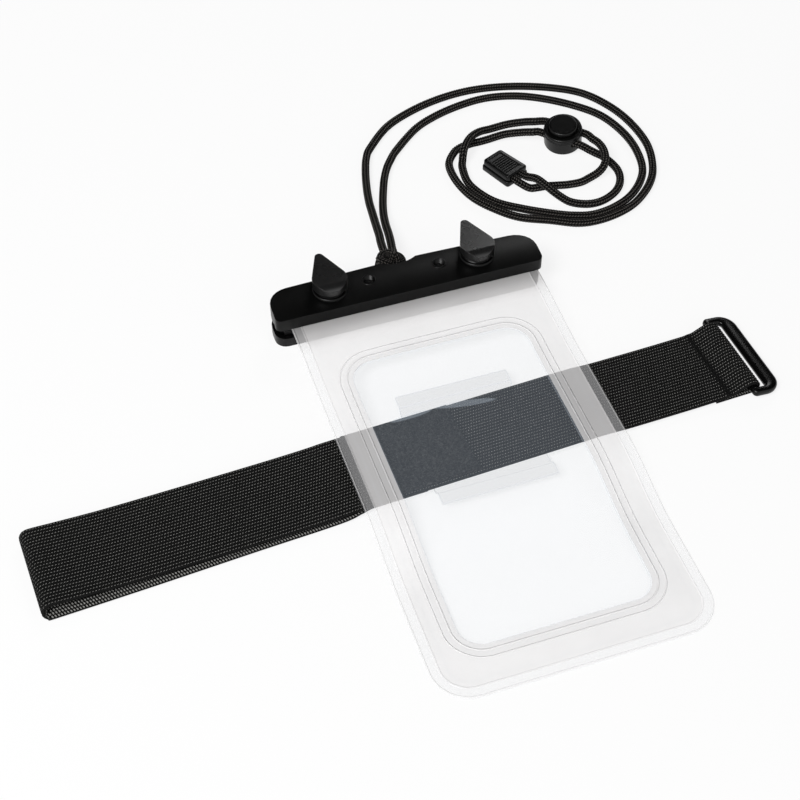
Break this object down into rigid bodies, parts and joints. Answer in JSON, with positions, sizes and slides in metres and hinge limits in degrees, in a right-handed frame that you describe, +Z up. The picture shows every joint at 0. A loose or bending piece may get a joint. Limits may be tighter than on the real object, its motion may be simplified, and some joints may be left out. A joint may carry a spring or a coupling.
{
  "type": "waterproof armband pouch",
  "caption": "Flat clear-window pouch closed by a clamp bar with quarter-turn knobs, with an elastic armband and buckle and a looped neck cord with a cord lock.",
  "frame": {"origin": "centre of the clamp's rear bar, on its underside, below the line through the screws and knobs", "axes": "+X along the clamp and the armband towards the buckle, +Y from the pouch's closed end to the clamp and the neck cord, +Z up out of the front of the pouch, which lies face up on a table"},
  "size_m": [0.3049, 0.3041, 0.0223],
  "materials": {
    "clamp_plastic": "satin black moulded plastic",
    "knob_plastic": "satin black moulded plastic",
    "seal_rubber": "dark grey rubber",
    "steel": "plain",
    "clear_film": "clear flexible film",
    "frosted_film": "frosted flexible film",
    "elastic": "black ribbed elastic",
    "fuzzy_patch": "black looped pile",
    "hook_patch": "black hook tape",
    "buckle_plastic": "satin black moulded plastic",
    "neck_cord": "black braided cord",
    "lock_plastic": "satin black moulded plastic"
  },
  "bodies": {
    "pouch": {"rear_bar": "clamp_plastic", "seal_strip": "seal_rubber", "left_guide_screw": "steel", "right_guide_screw": "steel", "back_sheet": "clear_film", "front_sheet": "frosted_film", "window_film": "clear_film", "belt_loop_patch": "clear_film", "elastic_strap": "elastic", "loop_patch": "fuzzy_patch", "hook_patch": "hook_patch", "lanyard_loop": "neck_cord", "lanyard_knot": "neck_cord", "lanyard_outer_strand": "neck_cord", "lanyard_inner_strand": "neck_cord", "cord_lock_body": "lock_plastic", "cord_lock_spring": "steel", "cord_clip_base": "lock_plastic", "cord_clip_cover": "lock_plastic"},
    "front_bar": {"front_bar": "clamp_plastic"},
    "left_knob": {"left_knob": "knob_plastic", "left_cross_pin": "steel"},
    "right_knob": {"right_knob": "knob_plastic", "right_cross_pin": "steel"},
    "buckle": {"buckle": "buckle_plastic"},
    "lock_button": {"cord_lock_button": "lock_plastic"}
  },
  "joints": [
    {"name": "front_bar_lift", "type": "slide", "parent": "pouch", "child": "front_bar", "axis": [0, 0, 1], "range_m": [0, 0.0025]},
    {"name": "left_knob_turn", "type": "hinge", "parent": "front_bar", "child": "left_knob", "pos_m": [-0.031, 0, 0.0177], "axis": [0, 0, 1], "range_deg": [0, 90]},
    {"name": "right_knob_turn", "type": "hinge", "parent": "front_bar", "child": "right_knob", "pos_m": [0.031, 0, 0.0177], "axis": [0, 0, 1], "range_deg": [0, 90]},
    {"name": "buckle_swing", "type": "hinge", "parent": "pouch", "child": "buckle", "pos_m": [0.10966, -0.07425, 0.00309], "axis": [0.0506, -0.9987, 0], "range_deg": [0, 85]},
    {"name": "lock_button_press", "type": "slide", "parent": "pouch", "child": "lock_button", "axis": [0.1249, 0.1206, -0.9848], "range_m": [0, 0.0015], "stiffness_N_per_m": 300, "deforming": ["cord_lock_spring"]}
  ],
  "couplings": [
    {"joint": "left_knob_turn", "follows": "front_bar_lift", "rad_per_m": 628.32},
    {"joint": "right_knob_turn", "follows": "front_bar_lift", "rad_per_m": 628.32}
  ]
}
